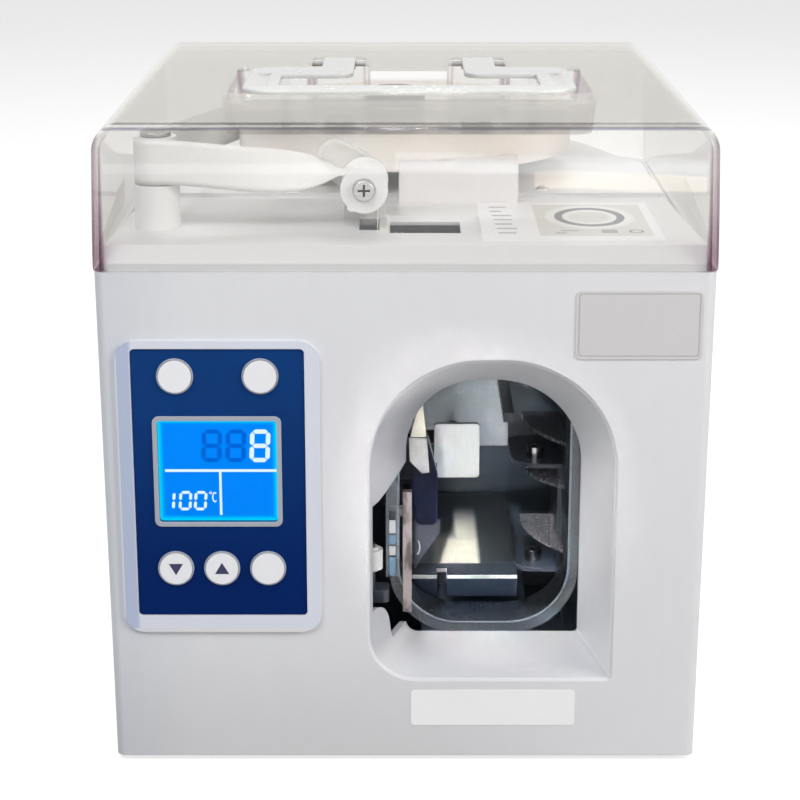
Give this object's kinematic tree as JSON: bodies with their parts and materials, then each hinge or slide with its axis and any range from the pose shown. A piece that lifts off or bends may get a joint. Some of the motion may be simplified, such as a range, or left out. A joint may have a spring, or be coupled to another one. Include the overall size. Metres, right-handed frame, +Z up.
{
  "type": "banknote strapping machine",
  "caption": "Counter-top machine that wraps a paper tape round a bundle of notes in an arched bay, with control panel, lit display, tape reel and clear lid.",
  "frame": {"origin": "on the floor, in the middle of the machine's outer box", "axes": "+X to the right as the operator sees it, +Y to the back, +Z up"},
  "size_m": [0.272, 0.2944, 0.298],
  "materials": {
    "housing_white": "moulded satin",
    "deck_white": "moulded satin",
    "handle_white": "moulded satin",
    "badge_white": "satin",
    "cover_clear": "clear, gloss",
    "track_clear": "clear, gloss",
    "frosted_clear": "frosted",
    "smoky_clear": "smoky, gloss",
    "window_clear": "clear",
    "display_blue": "lit display",
    "panel_navy": "satin film",
    "ring_grey": "satin",
    "button_white": "satin",
    "label_white": "printed film",
    "paper_tape": "embossed matt",
    "white_nylon": "moulded",
    "board_green": "board",
    "dark_steel": "satin",
    "galvanised_steel": "galvanised",
    "tray_steel": "brushed",
    "stop_steel": "brushed",
    "steel_bright": "polished",
    "copper": "worn",
    "black_plastic": "moulded",
    "glossy_navy": "gloss",
    "foot_rubber": "matt",
    "feed_rubber": "matt",
    "brass_pinion": "machined"
  },
  "bodies": {
    "root": {"front_cover": "housing_white", "side_covers": "housing_white", "rear_cover": "housing_white", "base_plate": "dark_steel", "rubber_feet": "foot_rubber", "top_deck": "deck_white", "control_panel": "panel_navy", "panel_rings": "ring_grey", "display_window": "window_clear", "display_module": "display_blue", "circuit_boards": "board_green", "badge_plate": "badge_white", "labels": "label_white", "reel_spindle": "white_nylon", "guide_post": "white_nylon", "steel_pins": "steel_bright", "fasteners": "steel_bright", "tape_guard": "frosted_clear", "roller_bracket": "white_nylon", "sensor_block": "deck_white", "tape_web": "paper_tape", "inner_frame": "dark_steel", "back_plate": "galvanised_steel", "note_tray": "tray_steel", "loop_track": "track_clear", "track_liner": "steel_bright", "press_head": "black_plastic", "sealing_bar": "copper", "tape_chute": "track_clear", "feeder_bracket": "black_plastic", "fin_carrier": "black_plastic", "guide_fins": "smoky_clear", "feed_frame": "galvanised_steel", "feed_motor": "galvanised_steel", "power_supply": "galvanised_steel", "power_inlet": "black_plastic", "switch_frame": "black_plastic", "cover_hinges": "black_plastic"},
    "dust_cover": {"dust_cover": "cover_clear"},
    "carry_handle": {"carry_handle": "handle_white"},
    "tape_reel": {"tape_roll": "paper_tape", "reel_hub": "white_nylon"},
    "guide_sleeve": {"guide_sleeve": "white_nylon"},
    "guide_roller": {"guide_roller": "white_nylon"},
    "note_stop": {"stop_plate": "stop_steel", "stop_rod": "steel_bright"},
    "clamp": {"clamp_block": "glossy_navy", "clamp_arm": "black_plastic", "clamp_tip": "steel_bright"},
    "idler_roller": {"idler_roller": "white_nylon"},
    "power_rocker": {"switch_rocker": "black_plastic"},
    "feed_drum": {"feed_drum": "feed_rubber", "drive_gear": "white_nylon"},
    "pinch_roller": {"pinch_roller": "feed_rubber"},
    "motor_pinion": {"motor_pinion": "brass_pinion"},
    "eject_button": {"eject_button": "button_white"},
    "load_button": {"load_button": "button_white"},
    "lower_heat_button": {"lower_heat_button": "button_white"},
    "raise_heat_button": {"raise_heat_button": "button_white"},
    "clear_button": {"clear_button": "button_white"}
  },
  "joints": [
    {"name": "cover_hinge", "type": "hinge", "parent": "root", "child": "dust_cover", "pos_m": [0, 0.1439, 0.23], "axis": [-1, 0, 0], "range_deg": [0, 100]},
    {"name": "handle_fold", "type": "hinge", "parent": "dust_cover", "child": "carry_handle", "pos_m": [0.002, 0.0605, 0.295], "axis": [-1, 0, 0], "range_deg": [0, 90]},
    {"name": "reel_spin", "type": "hinge", "parent": "root", "child": "tape_reel", "pos_m": [0, 0.047, 0.266], "axis": [0, 0, 1], "continuous": true},
    {"name": "sleeve_spin", "type": "hinge", "parent": "root", "child": "guide_sleeve", "pos_m": [-0.112, -0.095, 0.2728], "axis": [0, 0, 1], "continuous": true},
    {"name": "roller_spin", "type": "hinge", "parent": "root", "child": "guide_roller", "pos_m": [-0.0185, -0.09145, 0.2603], "axis": [0, 1, 0], "continuous": true},
    {"name": "stop_slide", "type": "slide", "parent": "root", "child": "note_stop", "axis": [0, 1, 0], "range_m": [0, 0.025], "stiffness_N_per_m": 40, "springref_m": -0.02},
    {"name": "clamp_slide", "type": "slide", "parent": "root", "child": "clamp", "axis": [1, 0, 0], "range_m": [0, 0.01]},
    {"name": "idler_spin", "type": "hinge", "parent": "root", "child": "idler_roller", "pos_m": [-0.0155, -0.108, 0.08625], "axis": [0, 0, 1], "continuous": true},
    {"name": "rocker_tilt", "type": "hinge", "parent": "root", "child": "power_rocker", "pos_m": [-0.04, 0.1368, 0.036], "axis": [1, 0, 0], "range_deg": [-12, 0]},
    {"name": "feed_spin", "type": "hinge", "parent": "root", "child": "feed_drum", "pos_m": [-0.004, -0.09145, 0.222], "axis": [0, 1, 0], "continuous": true},
    {"name": "pinch_spin", "type": "hinge", "parent": "root", "child": "pinch_roller", "pos_m": [-0.019, -0.09145, 0.222], "axis": [0, 1, 0], "continuous": true},
    {"name": "pinion_spin", "type": "hinge", "parent": "root", "child": "motor_pinion", "pos_m": [-0.02031, -0.0758, 0.21439], "axis": [0, 1, 0], "continuous": true},
    {"name": "eject_press", "type": "slide", "parent": "root", "child": "eject_button", "axis": [0, 1, 0], "range_m": [0, 0.0008], "stiffness_N_per_m": 200, "springref_m": -0.001},
    {"name": "load_press", "type": "slide", "parent": "root", "child": "load_button", "axis": [0, 1, 0], "range_m": [0, 0.0008], "stiffness_N_per_m": 200, "springref_m": -0.001},
    {"name": "lower_heat_press", "type": "slide", "parent": "root", "child": "lower_heat_button", "axis": [0, 1, 0], "range_m": [0, 0.0008], "stiffness_N_per_m": 200, "springref_m": -0.001},
    {"name": "raise_heat_press", "type": "slide", "parent": "root", "child": "raise_heat_button", "axis": [0, 1, 0], "range_m": [0, 0.0008], "stiffness_N_per_m": 200, "springref_m": -0.001},
    {"name": "clear_press", "type": "slide", "parent": "root", "child": "clear_button", "axis": [0, 1, 0], "range_m": [0, 0.0008], "stiffness_N_per_m": 200, "springref_m": -0.001}
  ],
  "couplings": [
    {"joint": "pinion_spin", "follows": "feed_spin", "ratio": -2},
    {"joint": "pinch_spin", "follows": "feed_spin", "ratio": -1.3333}
  ]
}
